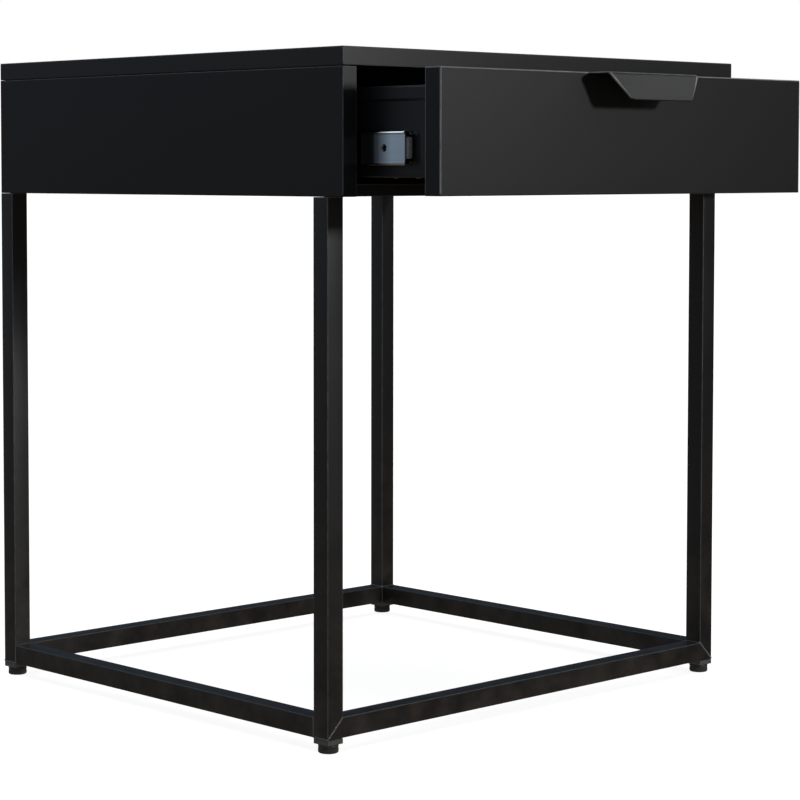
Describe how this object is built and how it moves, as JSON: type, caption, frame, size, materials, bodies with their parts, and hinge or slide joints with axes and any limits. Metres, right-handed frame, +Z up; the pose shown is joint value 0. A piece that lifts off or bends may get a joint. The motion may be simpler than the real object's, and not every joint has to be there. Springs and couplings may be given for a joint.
{
  "type": "side table with drawer",
  "caption": "Black side table: a flat board box with one inset drawer on telescopic slides, standing on a slim square-tube steel frame with levelling feet.",
  "frame": {"origin": "on the floor, below the middle of the whole table's outline with the drawer standing open as at rest", "axes": "+X to the right seen from the front, the drawer opens along -Y, +Z up"},
  "size_m": [0.577, 0.687, 0.6676],
  "materials": {
    "box_board": "smooth satin black lacquer on board",
    "front_board": "satin black lacquer, slightly lighter in the light",
    "frame_steel": "fine satin black powder coat on square tube",
    "tray_steel": "satin blue-black paint on pressed sheet",
    "pull_steel": "satin black paint on folded sheet",
    "zinc_steel": "bluish zinc-plated steel",
    "black_plastic": "moulded matt black plastic"
  },
  "bodies": {
    "table": {"back_panel": "box_board", "bottom_panel": "box_board", "foot_seat_back_left": "frame_steel", "foot_seat_back_right": "frame_steel", "foot_seat_front_left": "frame_steel", "foot_seat_front_right": "frame_steel", "leg_back_left": "frame_steel", "leg_back_right": "frame_steel", "leg_front_left": "frame_steel", "leg_front_right": "frame_steel", "leg_plug_back_left": "zinc_steel", "leg_plug_back_right": "zinc_steel", "leg_plug_front_left": "zinc_steel", "leg_plug_front_right": "zinc_steel", "leg_stud_back_left": "zinc_steel", "leg_stud_back_right": "zinc_steel", "leg_stud_front_left": "zinc_steel", "leg_stud_front_right": "zinc_steel", "outer_screw_left_1": "zinc_steel", "outer_screw_left_2": "zinc_steel", "outer_screw_right_1": "zinc_steel", "outer_screw_right_2": "zinc_steel", "rail_back": "frame_steel", "rail_front": "frame_steel", "rail_left": "frame_steel", "rail_right": "frame_steel", "side_panel_left": "box_board", "side_panel_right": "box_board", "slide_outer_left": "zinc_steel", "slide_outer_right": "zinc_steel", "top_panel": "box_board"},
    "drawer": {"drawer_back": "tray_steel", "drawer_floor": "tray_steel", "drawer_front": "front_board", "drawer_pull": "pull_steel", "drawer_side_left": "tray_steel", "drawer_side_right": "tray_steel", "front_screw_left_1": "zinc_steel", "front_screw_left_2": "zinc_steel", "front_screw_right_1": "zinc_steel", "front_screw_right_2": "zinc_steel", "inner_screw_left_1": "zinc_steel", "inner_screw_left_2": "zinc_steel", "inner_screw_right_1": "zinc_steel", "inner_screw_right_2": "zinc_steel", "pull_screw_left": "zinc_steel", "pull_screw_right": "zinc_steel", "slide_inner_left": "zinc_steel", "slide_inner_right": "zinc_steel"},
    "slide_middle_left": {"slide_middle_left": "zinc_steel"},
    "outer_cage_left": {"ball_cage_outer_left": "black_plastic"},
    "inner_cage_left": {"ball_cage_inner_left": "black_plastic"},
    "slide_middle_right": {"slide_middle_right": "zinc_steel"},
    "outer_cage_right": {"ball_cage_outer_right": "black_plastic"},
    "inner_cage_right": {"ball_cage_inner_right": "black_plastic"},
    "foot_front_left": {"levelling_foot_front_left": "black_plastic"},
    "foot_front_right": {"levelling_foot_front_right": "black_plastic"},
    "foot_back_left": {"levelling_foot_back_left": "black_plastic"},
    "foot_back_right": {"levelling_foot_back_right": "black_plastic"}
  },
  "joints": [
    {"name": "drawer_slide", "type": "slide", "parent": "table", "child": "drawer", "axis": [0, -1, 0], "range_m": [-0.106, 0.314]},
    {"name": "slide_middle_left_travel", "type": "slide", "parent": "table", "child": "slide_middle_left", "axis": [0, -1, 0], "range_m": [-0.083, 0.245]},
    {"name": "outer_cage_left_travel", "type": "slide", "parent": "table", "child": "outer_cage_left", "axis": [0, -1, 0], "range_m": [-0.042, 0.123]},
    {"name": "inner_cage_left_travel", "type": "slide", "parent": "table", "child": "inner_cage_left", "axis": [0, -1, 0], "range_m": [-0.095, 0.28]},
    {"name": "slide_middle_right_travel", "type": "slide", "parent": "table", "child": "slide_middle_right", "axis": [0, -1, 0], "range_m": [-0.083, 0.245]},
    {"name": "outer_cage_right_travel", "type": "slide", "parent": "table", "child": "outer_cage_right", "axis": [0, -1, 0], "range_m": [-0.042, 0.123]},
    {"name": "inner_cage_right_travel", "type": "slide", "parent": "table", "child": "inner_cage_right", "axis": [0, -1, 0], "range_m": [-0.095, 0.28]},
    {"name": "foot_front_left_turn", "type": "hinge", "parent": "table", "child": "foot_front_left", "pos_m": [-0.2785, -0.1695, 0], "axis": [0, 0, 1], "continuous": true},
    {"name": "foot_front_right_turn", "type": "hinge", "parent": "table", "child": "foot_front_right", "pos_m": [0.2785, -0.1695, 0], "axis": [0, 0, 1], "continuous": true},
    {"name": "foot_back_left_turn", "type": "hinge", "parent": "table", "child": "foot_back_left", "pos_m": [-0.2785, 0.3335, 0], "axis": [0, 0, 1], "continuous": true},
    {"name": "foot_back_right_turn", "type": "hinge", "parent": "table", "child": "foot_back_right", "pos_m": [0.2785, 0.3335, 0], "axis": [0, 0, 1], "continuous": true}
  ],
  "couplings": [
    {"joint": "slide_middle_left_travel", "follows": "drawer_slide", "ratio": 0.78},
    {"joint": "outer_cage_left_travel", "follows": "drawer_slide", "ratio": 0.39},
    {"joint": "inner_cage_left_travel", "follows": "drawer_slide", "ratio": 0.89},
    {"joint": "slide_middle_right_travel", "follows": "drawer_slide", "ratio": 0.78},
    {"joint": "outer_cage_right_travel", "follows": "drawer_slide", "ratio": 0.39},
    {"joint": "inner_cage_right_travel", "follows": "drawer_slide", "ratio": 0.89}
  ]
}
